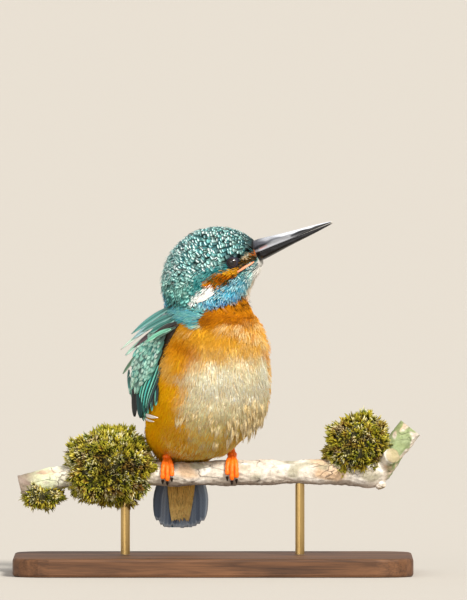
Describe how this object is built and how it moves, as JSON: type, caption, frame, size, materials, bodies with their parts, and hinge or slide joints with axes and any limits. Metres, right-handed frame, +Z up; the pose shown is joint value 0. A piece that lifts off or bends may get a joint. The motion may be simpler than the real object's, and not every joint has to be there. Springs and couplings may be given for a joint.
{
  "type": "kingfisher bird model on a perch",
  "caption": "Life-size still model of a common kingfisher perched upright with its head turned, on a short mossy branch held by a plain display stand.",
  "frame": {"origin": "middle of the stand base's underside", "axes": "+Z up, X along the perch, the bird's breast faces -Y and its bill points towards +X"},
  "size_m": [0.1753, 0.104, 0.1516],
  "materials": {
    "teal_plumage": "dark green-teal crown feathers with pale turquoise tips, silky",
    "orange_plumage": "orange breast plumage paling to cream on the belly, soft and matt",
    "wing_plumage": "green-teal wing feathers with dark quills and pale tips, silky",
    "tail_plumage": "slate-blue tail feathers, satin",
    "vent_plumage": "ochre-buff feathers under the tail, soft",
    "azure_plumage": "bright azure feathers over the tail, silky sheen",
    "bill_horn": "black bill horn with a grey gloss",
    "eye": "very dark brown, wet gloss",
    "foot_skin": "coral-red scaled skin, satin",
    "claw_horn": "black claw horn",
    "bark": "grey-beige bark with pale lichen, rough",
    "moss": "olive moss with yellow-green tips, matt",
    "stand_base": "dark waxed hardwood, satin",
    "stand_rod": "plain brushed brass rod"
  },
  "bodies": {
    "root": {"trunk": "orange_plumage", "neck": "orange_plumage", "head": "teal_plumage", "eye_right": "eye", "eye_left": "eye", "bill_upper": "bill_horn", "bill_lower": "bill_horn", "wing_right": "wing_plumage", "wing_left": "wing_plumage", "tail": "tail_plumage", "tail_coverts_under": "vent_plumage", "tail_coverts_upper": "azure_plumage", "leg_right": "foot_skin", "leg_left": "foot_skin", "perch": "bark", "moss_left": "moss", "moss_right": "moss", "moss_under": "moss", "stand_base": "stand_base", "stand_rod_left": "stand_rod", "stand_rod_right": "stand_rod", "claw_inner_right": "claw_horn", "claw_middle_right": "claw_horn", "claw_outer_right": "claw_horn", "claw_hind_right": "claw_horn", "claw_inner_left": "claw_horn", "claw_middle_left": "claw_horn", "claw_outer_left": "claw_horn", "claw_hind_left": "claw_horn"}
  },
  "joints": []
}
